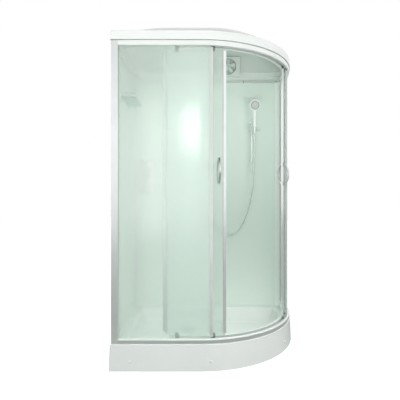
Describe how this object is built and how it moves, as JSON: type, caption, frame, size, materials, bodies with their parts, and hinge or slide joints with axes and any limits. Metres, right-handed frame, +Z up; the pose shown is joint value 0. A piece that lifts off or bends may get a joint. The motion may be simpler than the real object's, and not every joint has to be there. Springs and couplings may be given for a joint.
{
  "type": "shower cabin",
  "caption": "Asymmetric quadrant shower cabin with white tray and domed roof, frosted glass, curved sliding doors on rollers, hand shower on a riser rail, mixer and vent fan.",
  "frame": {"origin": "centre of the footprint's box on the floor", "axes": "+Z up, +X to the right and +Y to the back seen from the front; straight walls at the back and on the left"},
  "size_m": [1.2, 0.8009, 2.15],
  "materials": {
    "acrylic_white": "glossy white acrylic",
    "wall_green": "glossy pale green panel",
    "frosted_glass": "satin etched, pale green tint",
    "shelf_glass": "clear",
    "satin_alloy": "bright satin anodised",
    "chrome": "polished",
    "strip_plastic": "milky",
    "grey_plastic": "moulded",
    "nylon": "moulded",
    "steel": "zinc grey",
    "foot_rubber": "matt",
    "waste_plastic": "moulded",
    "fan_plastic": "moulded",
    "hose_pvc": "silver sheath"
  },
  "bodies": {
    "cabin": {"tray": "acrylic_white", "apron": "acrylic_white", "apron_screw_caps": "acrylic_white", "roof_shell": "acrylic_white", "back_wall": "wall_green", "left_wall": "wall_green", "left_fixed_glass": "frosted_glass", "right_fixed_glass": "frosted_glass", "shelf_glass": "shelf_glass", "corner_post": "satin_alloy", "left_post": "satin_alloy", "right_post": "satin_alloy", "wall_top_channels": "satin_alloy", "top_rail": "satin_alloy", "bottom_rail": "satin_alloy", "panel_screws": "chrome", "riser_rail": "chrome", "riser_brackets": "chrome", "wall_elbow": "chrome", "mixer_plate": "chrome", "shelf_rail": "chrome", "drain_cover": "chrome", "fixed_glass_strips": "strip_plastic", "under_frame": "steel", "foot_studs": "steel", "foot_nuts": "steel", "fan_motor": "steel", "foot_pads": "foot_rubber", "drain_trap": "waste_plastic", "fan_housing": "fan_plastic", "hose": "hose_pvc"},
    "left_door": {"left_door_glass": "frosted_glass", "left_magnet_strip": "strip_plastic", "left_seal_strip": "strip_plastic", "left_outer_handle": "chrome", "left_inner_handle": "chrome", "left_roller_brackets": "grey_plastic"},
    "right_door": {"right_door_glass": "frosted_glass", "right_magnet_strip": "strip_plastic", "right_seal_strip": "strip_plastic", "right_outer_handle": "chrome", "right_inner_handle": "chrome", "right_roller_brackets": "grey_plastic"},
    "left_top_lead_roller": {"left_top_lead_roller": "nylon"},
    "left_bottom_lead_roller": {"left_bottom_lead_roller": "nylon"},
    "left_top_trail_roller": {"left_top_trail_roller": "nylon"},
    "left_bottom_trail_roller": {"left_bottom_trail_roller": "nylon"},
    "right_top_lead_roller": {"right_top_lead_roller": "nylon"},
    "right_bottom_lead_roller": {"right_bottom_lead_roller": "nylon"},
    "right_top_trail_roller": {"right_top_trail_roller": "nylon"},
    "right_bottom_trail_roller": {"right_bottom_trail_roller": "nylon"},
    "slider": {"shower_slider": "chrome", "hose_tail": "hose_pvc"},
    "hand_shower": {"shower_holder": "chrome", "hand_shower": "chrome", "spray_face": "grey_plastic", "hose_nut": "chrome"},
    "mixer_lever": {"mixer_lever": "chrome"},
    "diverter_knob": {"diverter_knob": "chrome"},
    "fan_rotor": {"fan_rotor": "fan_plastic"}
  },
  "joints": [
    {"name": "left_door_slide", "type": "hinge", "parent": "cabin", "child": "left_door", "pos_m": [-0.065, 0.265, 0], "axis": [0, 0, 1], "range_deg": [-1.5, 23.97]},
    {"name": "right_door_slide", "type": "hinge", "parent": "cabin", "child": "right_door", "pos_m": [-0.065, 0.265, 0], "axis": [0, 0, -1], "range_deg": [-1, 23.97]},
    {"name": "left_top_lead_roller_spin", "type": "hinge", "parent": "left_door", "child": "left_top_lead_roller", "pos_m": [0.00982, -0.34432, 1.913], "axis": [0.1219, -0.9925, 0], "range_deg": [-1394, 1394]},
    {"name": "left_bottom_lead_roller_spin", "type": "hinge", "parent": "left_door", "child": "left_bottom_lead_roller", "pos_m": [0.00982, -0.34432, 0.175], "axis": [0.1219, -0.9925, 0], "range_deg": [-1394, 1394]},
    {"name": "left_top_trail_roller_spin", "type": "hinge", "parent": "left_door", "child": "left_top_trail_roller", "pos_m": [-0.2031, -0.33317, 1.913], "axis": [-0.225, -0.9744, 0], "range_deg": [-1394, 1394]},
    {"name": "left_bottom_trail_roller_spin", "type": "hinge", "parent": "left_door", "child": "left_bottom_trail_roller", "pos_m": [-0.2031, -0.33317, 0.175], "axis": [-0.225, -0.9744, 0], "range_deg": [-1394, 1394]},
    {"name": "right_top_lead_roller_spin", "type": "hinge", "parent": "right_door", "child": "right_top_lead_roller", "pos_m": [0.50813, 0.045, 1.913], "axis": [0.9336, -0.3584, 0], "range_deg": [-1394, 1394]},
    {"name": "right_bottom_lead_roller_spin", "type": "hinge", "parent": "right_door", "child": "right_bottom_lead_roller", "pos_m": [0.50813, 0.045, 0.175], "axis": [0.9336, -0.3584, 0], "range_deg": [-1394, 1394]},
    {"name": "right_top_trail_roller_spin", "type": "hinge", "parent": "right_door", "child": "right_top_trail_roller", "pos_m": [0.54881, 0.25429, 1.913], "axis": [0.9998, -0.0175, 0], "range_deg": [-1394, 1394]},
    {"name": "right_bottom_trail_roller_spin", "type": "hinge", "parent": "right_door", "child": "right_bottom_trail_roller", "pos_m": [0.54881, 0.25429, 0.175], "axis": [0.9998, -0.0175, 0], "range_deg": [-1394, 1394]},
    {"name": "slider_slide", "type": "slide", "parent": "cabin", "child": "slider", "axis": [0, 0, 1], "range_m": [-0.165, 0.04], "deforming": ["hose"]},
    {"name": "hand_shower_tilt", "type": "hinge", "parent": "slider", "child": "hand_shower", "pos_m": [0.346, 0.303, 1.521], "axis": [1, 0, 0], "range_deg": [-12, 30], "deforming": ["hose_tail"]},
    {"name": "mixer_lever_turn", "type": "hinge", "parent": "cabin", "child": "mixer_lever", "pos_m": [-0.485, 0.3579, 1.23], "axis": [0, -1, 0], "range_deg": [-50, 50]},
    {"name": "diverter_turn", "type": "hinge", "parent": "cabin", "child": "diverter_knob", "pos_m": [-0.485, 0.3579, 1.096], "axis": [0, -1, 0], "range_deg": [0, 90]},
    {"name": "fan_spin", "type": "hinge", "parent": "cabin", "child": "fan_rotor", "pos_m": [0.148, 0.29429, 2.00656], "axis": [0, -0.9553, -0.2957], "continuous": true}
  ],
  "couplings": [
    {"joint": "left_top_lead_roller_spin", "follows": "left_door_slide", "ratio": -55.809},
    {"joint": "left_bottom_lead_roller_spin", "follows": "left_door_slide", "ratio": 55.809},
    {"joint": "left_top_trail_roller_spin", "follows": "left_door_slide", "ratio": -55.809},
    {"joint": "left_bottom_trail_roller_spin", "follows": "left_door_slide", "ratio": 55.809},
    {"joint": "right_top_lead_roller_spin", "follows": "right_door_slide", "ratio": 55.809},
    {"joint": "right_bottom_lead_roller_spin", "follows": "right_door_slide", "ratio": -55.809},
    {"joint": "right_top_trail_roller_spin", "follows": "right_door_slide", "ratio": 55.809},
    {"joint": "right_bottom_trail_roller_spin", "follows": "right_door_slide", "ratio": -55.809}
  ]
}
